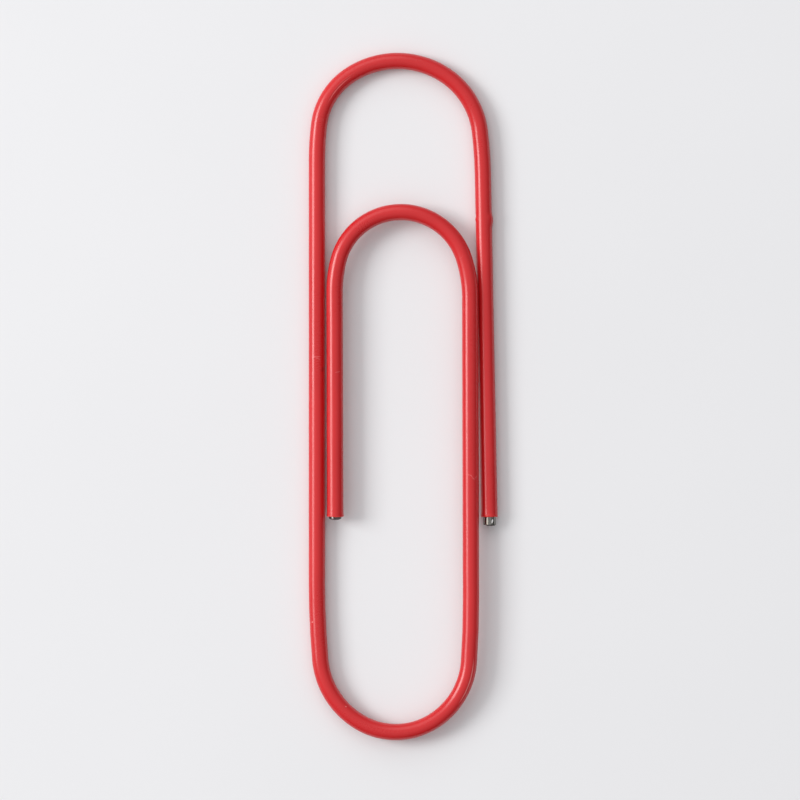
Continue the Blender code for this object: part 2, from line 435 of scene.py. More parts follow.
# %% Skin and rim
SKIN_PUSH, SKIN_MIDDLE = 0.000022, 0.75
RIM_PUSH, RIM_MIDDLE = 0.00016, 0.62
RAGGED_PUSH, RAGGED_MIDDLE = 0.00028, 0.50
RIM_REACH = 0.0005
skin_cloud = bpy.data.textures.new("vinyl_skin", "CLOUDS")
skin_cloud.noise_scale = 0.0045
skin_cloud.noise_depth = 2
rim_cloud = bpy.data.textures.new("vinyl_rim", "CLOUDS")
rim_cloud.noise_scale = 0.00055
rim_cloud.noise_depth = 3


def apply_all(piece):
    """Apply every modifier of a piece, in order."""
    only(piece)
    for modifier in list(piece.modifiers):
        bpy.ops.object.modifier_apply(modifier=modifier.name)


def displace(piece, texture, strength, mid, group="", direction="NORMAL"):
    """Push a piece by a cloud."""
    push = piece.modifiers.new("push", "DISPLACE")
    push.texture = texture
    push.strength = strength
    push.mid_level = mid
    push.direction = direction
    push.vertex_group = group


def end_group(piece, rings, end_along, reach):
    """A vertex group that fades from the cut end of a length over its reach."""
    group = piece.vertex_groups.new(name="cut_end")
    for index, ring in enumerate(rings):
        weight = max(0.0, 1.0 - abs(ring[3] - end_along) / reach)
        if weight > 0.0:
            points = list(range(index * COAT_SIDES, (index + 1) * COAT_SIDES))
            group.add(points, weight * weight, "REPLACE")


for piece, rings, end in ((top_coat, top_rings, top_rings[0][3]),
                          (bottom_coat, bottom_rings, None),
                          (inner_coat, inner_rings, inner_rings[-1][3])):
    displace(piece, skin_cloud, SKIN_PUSH, SKIN_MIDDLE)
    if end is not None:
        end_group(piece, rings, end, RIM_REACH)
        displace(piece, rim_cloud, RIM_PUSH, RIM_MIDDLE, "cut_end")
        displace(piece, rim_cloud, RAGGED_PUSH, RAGGED_MIDDLE, "cut_end", "Y")
    apply_all(piece)
print("skin done")

# %% [markdown]
# ## Keeping to size
# The swollen ends and the rim's lumps may not make the clip larger than its model, and on the real
# clip they can't: it lies on them, and they are pressed flat. So each coating is passed through a
# gauge, which is the model's own box with a hair of room, and what stands outside is pressed to it.

# %% Press to the gauge
GAUGE_ROOM = 0.000004


def press_to_gauge(piece):
    """Press the points that stand outside the model's box back to it."""
    points = np.array([vertex.co for vertex in piece.data.vertices])
    pressed = np.clip(points, np.array(cad_box[0]) + GAUGE_ROOM, np.array(cad_box[1]) - GAUGE_ROOM)
    moved = np.abs(pressed - points).max(axis=1)
    piece.data.vertices.foreach_set("co", pressed.astype(np.float32).ravel())
    piece.data.update()
    print(piece.name, int((moved > 0).sum()), "points pressed, by",
          round(moved.max() * 1e6, 1), "micrometres at most")


for piece in (top_coat, bottom_coat, inner_coat):
    press_to_gauge(piece)

# %% [markdown]
# ## The wall
# Solidify turns the skin inwards into a wall of even thickness, with the bore left for the steel.
# The two cut ends then get their outer edge rounded with a bevel, since soft vinyl never keeps a
# knife edge. The ends in the middle of a leg stay square, so that the lengths meet without a groove.

# %% Wall and rounded ends
RIM_ROUNDING = 0.00006
COAT_SMOOTH = math.radians(40)


def select_edges(piece, wanted):
    """Enter edit mode on a piece, with the wanted edges selected."""
    only(piece)
    bpy.ops.object.mode_set(mode="EDIT")
    bpy.ops.mesh.select_mode(type="EDGE")
    bpy.ops.mesh.select_all(action="DESELECT")
    mesh = bmesh.from_edit_mesh(piece.data)
    for edge in mesh.edges:
        if wanted(edge):
            edge.select = True
    mesh.select_flush_mode()
    bmesh.update_edit_mesh(piece.data)


def add_wall(piece, end_ring):
    """Give a coating its wall, and round the edge of its cut end if it has one."""
    skin_points = len(piece.data.vertices)
    wall = piece.modifiers.new("wall", "SOLIDIFY")
    wall.thickness = COAT_WALL
    wall.offset = -1.0
    wall.use_even_offset = False
    wall.use_rim = True
    apply_all(piece)
    if end_ring is not None:
        first = end_ring * COAT_SIDES % skin_points
        end_points = set(range(first, first + COAT_SIDES))
        inner_points = {index + skin_points for index in end_points}
        select_edges(piece, lambda edge: all(v.index in end_points for v in edge.verts)
                     or all(v.index in inner_points for v in edge.verts))
        bpy.ops.mesh.bevel(offset=RIM_ROUNDING, segments=3, affect="EDGES")
        bpy.ops.object.mode_set(mode="OBJECT")
    only(piece)
    bpy.ops.object.shade_smooth_by_angle(angle=COAT_SMOOTH)
    print(piece.name, len(piece.data.polygons), "faces")


add_wall(top_coat, 0)
add_wall(bottom_coat, None)
add_wall(inner_coat, len(inner_rings) - 1)

# %% [markdown]
# ## The steel inside
# The steel is one wire too, and is drawn in the same three lengths. A rigid core would poke through a
# coating that twists, so each length of steel is drawn along its own length of coating. All that shows are
# the two cut ends, and those are what the modelling time goes into.

# %% Three lengths of steel
steel_top_runs = [leg(OUTER_BARE, END_STEP), leg(OUTER_LEG - OUTER_BARE, STEEL_FREE_STEP),
                  *arcs(top_arcs), leg(frame_leg / 2, STEEL_LEG_STEP)]
top_steel, top_steel_rings = bend_wire("top_bend_wire", steel_top_runs, top_crown, UP + SPLAY, LEFT,
                                       0.0, STEEL_SIDES, STEEL_DIAMETER, STEEL_DIAMETER)
note_straightened(top_steel, top_steel_rings, STEEL_SIDES, top_crown.z)
steel_bottom_runs = [leg(frame_leg / 2, STEEL_LEG_STEP), *arcs(bottom_arcs),
                     leg(TONGUE_LEG / 2, STEEL_LEG_STEP)]
bottom_steel, bottom_steel_rings = bend_wire("bottom_bend_wire", steel_bottom_runs, bottom_level,
                                             DOWN, RIGHT, top_steel_rings[-1][3],
                                             STEEL_SIDES, STEEL_DIAMETER, STEEL_DIAMETER)
note_straightened(bottom_steel, bottom_steel_rings, STEEL_SIDES, top_crown.z)
climb(bottom_steel)
steel_inner_runs = [leg(TONGUE_LEG / 2, STEEL_LEG_STEP), *arcs(inner_arcs),
                    leg(INNER_LEG - END_LENGTH, STEEL_FREE_STEP), leg(END_LENGTH, STEEL_END_STEP)]
inner_steel, inner_steel_rings = bend_wire("inner_bend_wire", steel_inner_runs, inner_crown, INNER_START,
                                           INNER_START + UP - LEAN, bottom_steel_rings[-1][3],
                                           STEEL_SIDES, STEEL_DIAMETER, STEEL_DIAMETER)
note_straightened(inner_steel, inner_steel_rings, STEEL_SIDES, inner_crown.z)
print("steel", len(top_steel_rings) + len(bottom_steel_rings) + len(inner_steel_rings), "rings")

# %% [markdown]
# ## The cut ends of the steel
# A shear bites into one side of the wire and tears through the rest, so the face slopes, its first
# edge is rolled over and its last has a burr. The end ring is turned about the wire's side axis for
# the slope and stretched to stay as wide, then filled, inset for the rolled edge and inset again for
# the torn middle. The burr is one corner pulled out.

# %% Shear the steel
OUTER_SLOPE, OUTER_SLANT = math.radians(-5), math.radians(4)
INNER_SLOPE = math.radians(15.5)
STEEL_SMOOTH = math.radians(30)
# Inset and depth of the rolled edge, of the ring inside it and of the torn middle.
CUT_FACE = ((0.00009, 0.00007), (0.00024, -0.00002), (0.00022, 0.00004))


def cap_ends(piece, rings, cut_ring, slope, slant, level):
    """Fill both ends of a length of steel, and shear the one that shows."""
    for index in (0, len(rings) - 1):
        first = index * STEEL_SIDES
        wanted = set(range(first, first + STEEL_SIDES))
        select_edges(piece, lambda edge: all(v.index in wanted for v in edge.verts))
        if index == cut_ring:
            x, y = rings[index][:2]
            middle = (x, y, level)
            bpy.ops.transform.rotate(value=slope, orient_axis="X", center_override=middle)
            bpy.ops.transform.rotate(value=slant, orient_axis="Z", center_override=middle)
            bpy.ops.transform.resize(value=(1 / math.cos(slant), 1, 1 / math.cos(slope)),
                                     center_override=middle)
        bpy.ops.mesh.edge_face_add()
        if index == cut_ring:
            for thickness, depth in CUT_FACE:
                bpy.ops.mesh.inset(thickness=thickness, depth=depth)
        bpy.ops.object.mode_set(mode="OBJECT")
    only(piece)
    bpy.ops.object.mode_set(mode="EDIT")
    bpy.ops.mesh.select_all(action="SELECT")
    bpy.ops.mesh.normals_make_consistent(inside=False)
    bpy.ops.object.mode_set(mode="OBJECT")
    bpy.ops.object.shade_smooth_by_angle(angle=STEEL_SMOOTH)
    print(piece.name, len(piece.data.polygons), "faces")


cap_ends(top_steel, top_steel_rings, 0, OUTER_SLOPE, OUTER_SLANT, top_crown.z)
cap_ends(bottom_steel, bottom_steel_rings, None, 0.0, 0.0, 0.0)
cap_ends(inner_steel, inner_steel_rings, len(inner_steel_rings) - 1, INNER_SLOPE, 0.0, inner_crown.z)
outer_tip = top_steel_rings[0]
pull_point(top_steel, (outer_tip[0] + 0.00075, outer_tip[1], top_crown.z + 0.0004),
           (0.00003, -0.00016, 0.0), 0.00022, "SHARP")
pull_point(top_steel, (outer_tip[0] - 0.0007, outer_tip[1], top_crown.z + 0.0005),
           (0.0, 0.00007, -0.00005), 0.0003)
print("steel cut")

# %% [markdown]
# ## Finishes as groups of nodes
# An effect that several finishes share is a node group: it is built once, takes its strength and
# scale as named inputs, and gives out a mask that each material uses in its own way. The vector that
# goes in is the straightened place of a point, so a line drawn along the wire stays on it round the
# bends, where a pattern in plain object space would run straight on and fall off.

# %% Helpers for nodes


def new_group(name, inputs, output="Mask"):
    """An empty shader group with float and vector inputs and one output."""
    tree = bpy.data.node_groups.new(name, "ShaderNodeTree")
    for label, value in inputs:
        kind = "NodeSocketVector" if isinstance(value, tuple) else "NodeSocketFloat"
        tree.interface.new_socket(name=label, in_out="INPUT", socket_type=kind).default_value = value
    tree.interface.new_socket(name=output, in_out="OUTPUT", socket_type="NodeSocketFloat")
    return tree, tree.nodes.new("NodeGroupInput").outputs, tree.nodes.new("NodeGroupOutput").inputs


def put(tree, source, socket):
    """Set an input from a number, a vector, a colour or another node's output."""
    if isinstance(source, bpy.types.NodeSocket):
        tree.links.new(source, socket)
    else:
        socket.default_value = source


def math_node(tree, operation, first, second=0.0, clamp=False):
    """A Math node and its result."""
    node = tree.nodes.new("ShaderNodeMath")
    node.operation = operation
    node.use_clamp = clamp
    put(tree, first, node.inputs[0])
    put(tree, second, node.inputs[1])
    return node.outputs[0]


def weighted(tree, *terms):
    """The sum of some masks, each times its share."""
    total = None
    for mask, share in terms:
        part = math_node(tree, "MULTIPLY", mask, share)
        total = part if total is None else math_node(tree, "ADD", total, part)
    return total


def add_relief(tree, shader, height, strength, distance):
    """Drive the shader's normal by a height."""
    relief = tree.nodes.new("ShaderNodeBump")
    relief.inputs["Strength"].default_value = strength
    relief.inputs["Distance"].default_value = distance
    put(tree, height, relief.inputs["Height"])
    put(tree, relief.outputs[0], shader.inputs["Normal"])


def vector_node(tree, operation, first, second=(0.0, 0.0, 0.0)):
    """A Vector Math node and its result."""
    node = tree.nodes.new("ShaderNodeVectorMath")
    node.operation = operation
    put(tree, first, node.inputs[0])
    put(tree, second, node.inputs[1])
    return node.outputs["Value" if operation in ("LENGTH", "DOT_PRODUCT") else "Vector"]


def fade(tree, value, low, high):
    """Nought below low and one above high, with a smooth step between."""
    node = tree.nodes.new("ShaderNodeMapRange")
    node.interpolation_type = "SMOOTHSTEP"
    put(tree, value, node.inputs["Value"])
    put(tree, low, node.inputs["From Min"])
    put(tree, high, node.inputs["From Max"])
    return node.outputs["Result"]


def noise(tree, vector, scale, detail=3.0, roughness=0.55):
    """A Noise texture's value."""
    node = tree.nodes.new("ShaderNodeTexNoise")
    put(tree, vector, node.inputs["Vector"])
    put(tree, scale, node.inputs["Scale"])
    node.inputs["Detail"].default_value = detail
    node.inputs["Roughness"].default_value = roughness
    return node.outputs["Fac"]


def blend_colour(tree, share, first, second):
    """A mix of two colours."""
    node = tree.nodes.new("ShaderNodeMix")
    node.data_type = "RGBA"
    put(tree, share, node.inputs[0])
    put(tree, first, node.inputs[6])
    put(tree, second, node.inputs[7])
    return node.outputs[2]


def use(tree, group, **values):
    """Place a group in a material, with its inputs by name."""
    node = tree.nodes.new("ShaderNodeGroup")
    node.node_tree = group
    for label, value in values.items():
        put(tree, value, node.inputs[label.replace("_", " ")])
    return node.outputs[0]


print("node helpers ready")

# %% [markdown]
# ## Grain and drawing lines
# Both the vinyl and the steel came through a die, which leaves fine lines along the wire. Stretching
# a noise along the wire, by shrinking that axis before the texture reads it, gives such lines. The
# same group with no stretch gives plain grain.

# %% Group: grain
grain, enter, leave = new_group("grain", [("Vector", (0.0, 0.0, 0.0)), ("Scale", 1000.0), ("Stretch", 1.0)])
axes = grain.nodes.new("ShaderNodeSeparateXYZ")
grain.links.new(enter["Vector"], axes.inputs[0])
joined = grain.nodes.new("ShaderNodeCombineXYZ")
put(grain, math_node(grain, "DIVIDE", axes.outputs["X"], enter["Stretch"]), joined.inputs["X"])
put(grain, axes.outputs["Y"], joined.inputs["Y"])
put(grain, axes.outputs["Z"], joined.inputs["Z"])
put(grain, noise(grain, joined.outputs[0], enter["Scale"], 4.0), leave["Mask"])
print("group", grain.name)

# %% [markdown]
# ## Scratches
# Handling leaves hairline scratches that cross the wire at odd angles and stop. A band of a warped
# noise where its value passes a half is a thin wandering line, and a second, larger noise erases most
# of them, so that a few short ones are left.

# %% Group: hairlines
hairlines, enter, leave = new_group(
    "hairlines", [("Vector", (0.0, 0.0, 0.0)), ("Scale", 500.0), ("Width", 0.01), ("Rarity", 0.6)])
line = noise(hairlines, enter["Vector"], enter["Scale"], 1.0)
from_middle = math_node(hairlines, "ABSOLUTE", math_node(hairlines, "SUBTRACT", line, 0.5))
thin = math_node(hairlines, "SUBTRACT", 1.0, fade(hairlines, from_middle, 0.0, enter["Width"]))
moved = vector_node(hairlines, "ADD", enter["Vector"], (0.31, 0.17, 0.23))
patch = noise(hairlines, moved, math_node(hairlines, "MULTIPLY", enter["Scale"], 0.7), 2.0)
kept = fade(hairlines, patch, enter["Rarity"], math_node(hairlines, "ADD", enter["Rarity"], 0.06))
put(hairlines, math_node(hairlines, "MULTIPLY", thin, kept), leave["Mask"])
print("group", hairlines.name)

# %% [markdown]
# ## Dust
# A glossy plastic picks up lint and dust. A Voronoi texture scatters one point to a cell, and a cell
# shows its speck only when its own random number is high, so that the specks are few and uneven.

# %% Group: dust
dust, enter, leave = new_group(
    "dust", [("Vector", (0.0, 0.0, 0.0)), ("Scale", 900.0), ("Size", 0.10), ("Rarity", 0.93)])
cells = dust.nodes.new("ShaderNodeTexVoronoi")
put(dust, enter["Vector"], cells.inputs["Vector"])
put(dust, enter["Scale"], cells.inputs["Scale"])
speck = math_node(dust, "SUBTRACT", 1.0, fade(dust, cells.outputs["Distance"],
                                            math_node(dust, "MULTIPLY", enter["Size"], 0.5), enter["Size"]))
chosen = dust.nodes.new("ShaderNodeSeparateXYZ")
put(dust, cells.outputs["Color"], chosen.inputs[0])
shown = math_node(dust, "GREATER_THAN", chosen.outputs["X"], enter["Rarity"])
put(dust, math_node(dust, "MULTIPLY", speck, shown), leave["Mask"])
print("group", dust.name)

# %% [markdown]
# ## One mark in one place
# A few marks on the real clip are worth putting where they are, and so are a few painted highlights and
# glints. The group is a soft ellipse at a place in the piece's own space, turned to lie as the mark lies,
# with a wobble so that it isn't a drawn line. Each use of the group is one mark.

# %% Group: one mark
one_mark, enter, leave = new_group(
    "one mark", [("Vector", (0.0, 0.0, 0.0)), ("Place", (0.0, 0.0, 0.0)), ("Turn", 0.0),
                 ("Half Length", 0.0006), ("Half Width", 0.0001), ("Wobble", 0.0001)])
offset = vector_node(one_mark, "SUBTRACT", enter["Vector"], enter["Place"])
turned = one_mark.nodes.new("ShaderNodeVectorRotate")
turned.rotation_type = "Z_AXIS"
put(one_mark, offset, turned.inputs["Vector"])
put(one_mark, math_node(one_mark, "MULTIPLY", enter["Turn"], -1.0), turned.inputs["Angle"])
axes = one_mark.nodes.new("ShaderNodeSeparateXYZ")
put(one_mark, turned.outputs[0], axes.inputs[0])
ripple = math_node(one_mark, "SUBTRACT", noise(one_mark, enter["Vector"], 2600.0, 2.0), 0.5)
swerve = math_node(one_mark, "MULTIPLY", ripple, enter["Wobble"])
across = math_node(one_mark, "ADD", axes.outputs["Y"], swerve)
lengths = math_node(one_mark, "DIVIDE", axes.outputs["X"], enter["Half Length"])
widths = math_node(one_mark, "DIVIDE", across, enter["Half Width"])
reach = math_node(one_mark, "ADD", math_node(one_mark, "POWER", lengths, 2.0),
                  math_node(one_mark, "POWER", widths, 2.0))
inside = math_node(one_mark, "SUBTRACT", 1.0, fade(one_mark, reach, 0.25, 1.0))
above = math_node(one_mark, "GREATER_THAN", axes.outputs["Z"], 0.0)
put(one_mark, math_node(one_mark, "MULTIPLY", inside, above), leave["Mask"])
print("group", one_mark.name)

# %% [markdown]
# ## The vinyl
# Soft red PVC: one strong pigment, a skin that is glossy but not polished, faint lines from the die and a
# little mottling. The scratches are pale, because a scratch in vinyl turns white, and they are rougher than
# the skin. Pale lines along two bends are painted highlights, the one on the top-left shoulder lying over
# roller lines, and dark lines on that shoulder are roller lines with a painted dark reflection. The thin
# rims let light through, and that glow is painted as a brighter red. Roughness and bump carry most of the
# realism, and the colour varies little.

# %% Material: red vinyl
VINYL = (0.615, 0.0090, 0.0120, 1.0)
VINYL_DEEP = (0.575, 0.0068, 0.0095, 1.0)
# Pale scratches and specks, and also the painted highlight lines on two bends.
VINYL_PALE_MARK_AND_HIGHLIGHT = (0.820, 0.260, 0.250, 1.0)
# A brighter red for the cut rims: a painted glow of light through the thin vinyl.
VINYL_RIM_PAINTED_GLOW = (0.860, 0.062, 0.042, 1.0)
# Dark smudges, and also a painted dark reflection on the top-left shoulder.
VINYL_SMUDGE_AND_DARK_REFLECTION = (0.160, 0.006, 0.008, 1.0)
LINT = (0.850, 0.720, 0.700, 1.0)
VINYL_ROUGHNESS = 0.235

# Place in metres, turn in degrees, half length, half width and wobble in metres, strength.
PALE_MARKS = (
    ((-0.01262, 0.00573, 0.0012), 4, 0.00075, 0.00005, 0.00018, 0.55),
    ((-0.01235, 0.00545, 0.0012), -6, 0.00045, 0.00004, 0.00010, 0.4),
    ((0.00990, -0.01160, 0.0024), -35, 0.00080, 0.00006, 0.00080, 0.5),
    ((0.01050, -0.01175, 0.0024), 48, 0.00035, 0.00005, 0.00030, 0.45),
    ((-0.01320, -0.03280, 0.0012), 20, 0.00016, 0.00009, 0.00006, 0.9),
    ((0.00856, 0.01446, 0.0024), 70, 0.00015, 0.00008, 0.00006, 0.8),
    ((-0.00832, -0.04505, 0.0012), 0, 0.00014, 0.00009, 0.00006, 0.8),
    ((-0.00950, 0.00354, 0.0024), 10, 0.00050, 0.00007, 0.00025, 0.35),
    ((-0.00890, 0.00020, 0.0024), 80, 0.00050, 0.00006, 0.00020, 0.3),
)
# On the straightened wire: the same, for pale lines painted along two bends: a painted highlight on the
# lower-right bend, and on the top-left shoulder a painted highlight over the lines that the bender's roller
# left.
ROLLER_LINES_AND_PAINTED_HIGHLIGHTS = (
    ((0.08440, -0.00036, 0.0), 0, 0.00300, 0.00006, 0.00012, 0.50),
    ((0.08300, -0.00012, 0.0), 1, 0.00220, 0.00004, 0.00010, 0.18),
    ((0.19850, 0.00064, 0.0), 0, 0.00380, 0.00009, 0.00008, 0.90),
)
# Dark lines on the top-left shoulder: roller lines with a painted dark reflection.
ROLLER_LINES_AND_PAINTED_DARK_REFLECTION = (
    ((0.08430, -0.00022, 0.0), 0, 0.00340, 0.00007, 0.00012, 0.30),
    ((0.08450, -0.00055, 0.0), 0, 0.00320, 0.00009, 0.00012, 0.28),
)
DARK_MARKS = (
    ((-0.01167, 0.00398, 0.0010), 60, 0.00050, 0.00028, 0.00030, 0.35),
    ((0.01290, 0.02480, 0.0010), 90, 0.00060, 0.00010, 0.00015, 0.35),
)


def new_material(name):
    """A material with its tree and its shader."""
    material = bpy.data.materials.new(name)
    material.use_nodes = True
    return material, material.node_tree, material.node_tree.nodes["Principled BSDF"]


def straightened(tree):
    """Where a point would be on a straight wire."""
    node = tree.nodes.new("ShaderNodeAttribute")
    node.attribute_name = "straightened"
    return node.outputs["Vector"]


def add_marks(tree, place, marks):
    """All the marks of a kind in one mask."""
    total = None
    for where, turn, half_length, half_width, wobble, strength in marks:
        mask = use(tree, one_mark, Vector=place, Place=where, Turn=math.radians(turn),
                   Half_Length=half_length, Half_Width=half_width, Wobble=wobble)
        mask = math_node(tree, "MULTIPLY", mask, strength)
        total = mask if total is None else math_node(tree, "MAXIMUM", total, mask)
    return total


vinyl, tree, shader = new_material("red_vinyl")
on_wire = straightened(tree)
in_place = tree.nodes.new("ShaderNodeTexCoord").outputs["Object"]
mottle = fade(tree, use(tree, grain, Vector=on_wire, Scale=260.0, Stretch=3.0), 0.35, 0.65)
die_line = use(tree, grain, Vector=on_wire, Scale=5200.0, Stretch=40.0)
pore = use(tree, grain, Vector=on_wire, Scale=9000.0, Stretch=1.0)
scratch = use(tree, hairlines, Vector=on_wire, Scale=420.0, Width=0.007, Rarity=0.62)
lint = use(tree, dust, Vector=on_wire, Scale=900.0, Size=0.085, Rarity=0.965)
pale_marks_and_highlights = math_node(tree, "MAXIMUM", add_marks(tree, in_place, PALE_MARKS),
                 math_node(tree, "MULTIPLY", scratch, 0.22))
# The pale mask also holds the painted highlight lines along two bends.
pale_marks_and_highlights = math_node(tree, "MAXIMUM", pale_marks_and_highlights, add_marks(tree, on_wire, ROLLER_LINES_AND_PAINTED_HIGHLIGHTS))
# The dark mask holds smudges and the painted dark reflection on the top-left shoulder.
smudges_and_dark_reflection = math_node(tree, "MAXIMUM", add_marks(tree, in_place, DARK_MARKS),
                 add_marks(tree, on_wire, ROLLER_LINES_AND_PAINTED_DARK_REFLECTION))
colour = blend_colour(tree, mottle, VINYL_DEEP, VINYL)
colour = blend_colour(tree, math_node(tree, "MULTIPLY", pore, 0.10), colour, VINYL_DEEP)
colour = blend_colour(tree, smudges_and_dark_reflection, colour, VINYL_SMUDGE_AND_DARK_REFLECTION)
colour = blend_colour(tree, pale_marks_and_highlights, colour, VINYL_PALE_MARK_AND_HIGHLIGHT)
colour = blend_colour(tree, math_node(tree, "MULTIPLY", lint, 0.6), colour, LINT)
axes = tree.nodes.new("ShaderNodeSeparateXYZ")
put(tree, on_wire, axes.inputs[0])
to_outer_rim = math_node(tree, "SUBTRACT", axes.outputs["X"], OUTER_BARE)
to_inner_rim = math_node(tree, "SUBTRACT", inner_rings[-1][3], axes.outputs["X"])
to_rim = math_node(tree, "MINIMUM", to_outer_rim, to_inner_rim)
lumps = use(tree, grain, Vector=on_wire, Scale=2200.0, Stretch=1.0)
to_rim = math_node(tree, "ADD", to_rim, math_node(tree, "MULTIPLY", lumps, 0.0011))
# Painted glow: the cut rims are painted a brighter red, for light shining through the thin vinyl.
rim_glow = math_node(tree, "SUBTRACT", 1.0, fade(tree, to_rim, 0.00040, 0.00085))
colour = blend_colour(tree, math_node(tree, "MULTIPLY", rim_glow, 0.75), colour, VINYL_RIM_PAINTED_GLOW)
put(tree, colour, shader.inputs["Base Color"])
dull = weighted(tree, (pore, 0.08), (mottle, 0.05), (pale_marks_and_highlights, 0.25))
put(tree, math_node(tree, "ADD", dull, VINYL_ROUGHNESS, clamp=True), shader.inputs["Roughness"])
height = weighted(tree, (die_line, 0.6), (pore, 0.4), (pale_marks_and_highlights, -0.8), (lint, 2.0))
add_relief(tree, shader, height, 0.6, 0.000006)
shader.inputs["Specular IOR Level"].default_value = 0.53
shader.inputs["IOR"].default_value = 1.53
print("material", vinyl.name, len(tree.nodes), "nodes")

# %% [markdown]
# ## The steel
# Drawn steel is bright along its sides, with fine lines left by the die, and its cut faces are duller,
# because metal that tears is rough; they are also painted near black as painted shade. The outer tip also
# has a pale streak that is a painted highlight, and one score where the cutter slid along it, painted white
# as a painted glint. The inner tip's face has a painted glint too. The straightened place says how near a
# point is to either end of the wire, which separates the sides from the faces with no second material.

# %% Material: drawn steel
STEEL = (0.300, 0.290, 0.265, 1.0)
STEEL_LINE = (0.090, 0.088, 0.080, 1.0)
# Near black for the cut faces: rough torn metal, with painted shade.
STEEL_TORN_AND_PAINTED_SHADE = (0.055, 0.050, 0.045, 1.0)
# A painted highlight on the outer tip.
STEEL_PAINTED_HIGHLIGHT = (0.400, 0.375, 0.320, 1.0)
# White for painted glints, on the score and on the inner tip.
STEEL_PAINTED_GLINT = (0.980, 0.970, 0.940, 1.0)
STEEL_ROUGHNESS = 0.16
# On the straightened wire: place in metres, turn in degrees, half length, half width and wobble.
# A painted highlight streak on the side of the outer tip.
PAINTED_CREAM_HIGHLIGHT = ((0.00045, -0.00036, 0.0), 3, 0.00080, 0.00021, 0.00010)
# A score from the cutter, painted white as a painted glint.
SCORE_WITH_PAINTED_GLINT = ((0.00050, 0.00038, 0.0), 14, 0.00038, 0.00013, 0.00004)
INNER_GLINT = ((0.32198, 0.00040, -0.0002), 0, 0.00060, 0.00017, 0.00006)
steel_end = inner_steel_rings[-1][3]

steel, tree, shader = new_material("drawn_steel")
on_wire = straightened(tree)
line = use(tree, grain, Vector=on_wire, Scale=6500.0, Stretch=30.0)
fleck = use(tree, grain, Vector=on_wire, Scale=2400.0, Stretch=1.5)
torn_grain = use(tree, grain, Vector=on_wire, Scale=8000.0, Stretch=1.0)
axes = tree.nodes.new("ShaderNodeSeparateXYZ")
put(tree, on_wire, axes.inputs[0])
from_start = axes.outputs["X"]
from_end = math_node(tree, "SUBTRACT", steel_end, from_start)
nearest_end = math_node(tree, "MINIMUM", from_start, from_end)
# The cut faces: rougher, and painted near black as painted shade.
torn_and_painted_shade = math_node(tree, "SUBTRACT", 1.0, fade(tree, nearest_end, 0.00002, 0.00006))
colour = blend_colour(tree, fade(tree, line, 0.40, 0.62), STEEL_LINE, STEEL)
stained = math_node(tree, "MULTIPLY", fade(tree, fleck, 0.55, 0.70), 0.5)
colour = blend_colour(tree, stained, colour, STEEL_LINE)
painted_highlight_streak, score_and_glint, glint = (
    use(tree, one_mark, Vector=on_wire, Place=where, Turn=math.radians(turn),
        Half_Length=half_length, Half_Width=half_width, Wobble=wobble)
    for where, turn, half_length, half_width, wobble in (PAINTED_CREAM_HIGHLIGHT, SCORE_WITH_PAINTED_GLINT, INNER_GLINT))
# The painted highlight streak on the outer tip.
colour = blend_colour(tree, math_node(tree, "MULTIPLY", painted_highlight_streak, 0.85), colour, STEEL_PAINTED_HIGHLIGHT)
# The score, painted white as a painted glint.
colour = blend_colour(tree, score_and_glint, colour, STEEL_PAINTED_GLINT)
colour = blend_colour(tree, torn_and_painted_shade, colour, STEEL_TORN_AND_PAINTED_SHADE)
colour = blend_colour(tree, glint, colour, STEEL_PAINTED_GLINT)
put(tree, colour, shader.inputs["Base Color"])
painted_glints = math_node(tree, "MAXIMUM", score_and_glint, glint)
metal = math_node(tree, "SUBTRACT", 1.0, math_node(tree, "MULTIPLY", painted_glints, 0.85))
put(tree, metal, shader.inputs["Metallic"])
dull = weighted(tree, (fleck, 0.12), (torn_and_painted_shade, 0.22), (painted_glints, 0.45), (painted_highlight_streak, 0.20))
put(tree, math_node(tree, "ADD", dull, STEEL_ROUGHNESS, clamp=True), shader.inputs["Roughness"])
rough_face = math_node(tree, "MULTIPLY", torn_and_painted_shade, math_node(tree, "MULTIPLY", torn_grain, 4.0))
add_relief(tree, shader, math_node(tree, "ADD", line, rough_face), 0.7, 0.000008)
print("material", steel.name, len(tree.nodes), "nodes")

# %% [markdown]
# ## Finishes, and the parts they stand for
# Each length holds one bend, between the leg before it and the leg after it. It gets its finish, its
# transform is baked into its points, and the model's coating or wire parts for the bodies on either side
# are hidden. The inner faces of those legs are worked out too, but nothing uses them. On the real clip both
# legs stay rigid and only the bend twists, which is how the wire really gives.

# %% Finishes, baked transforms and the model's parts that are hidden
tongue_leg_x = bottom_rings[-1][0]
frame_leg_x = top_rings[-1][0]
outer_leg_x = top_rings[0][0] - (OUTER_LEG - OUTER_BARE) * math.sin(SPLAY)
inner_leg_x = inner_rings[-1][0]
tongue_top_x = tongue_leg_x - TONGUE_LEG / 2 * math.sin(LEAN)
hangings = (
    (top_coat, top_steel, top_crown, "outer_leg", "frame", outer_leg_x - half, frame_leg_x + half),
    (bottom_coat, bottom_steel, bottom_crown, "frame", "tongue", frame_leg_x + half, tongue_leg_x - half),
    (inner_coat, inner_steel, inner_crown, "tongue", "inner_leg", tongue_top_x - half, inner_leg_x + half),
)
for coat, core, crown, before, after, start_x, end_x in hangings:
    for piece, kind, slot, finish in ((coat, "coating", "vinyl_coating", vinyl),
                                      (core, "wire", "steel_wire", steel)):
        piece.data.materials.clear()
        piece.data.materials.append(finish)
        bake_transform(piece)
        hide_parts(before + "_" + kind, after + "_" + kind)
        print(piece.name, "from", before, "to", after)

# %% [markdown]
# ## The floor
# A plain pale card, far larger than the clip. It belongs to the stage and not to the object. A faint
# unevenness keeps it from looking like a flat fill.

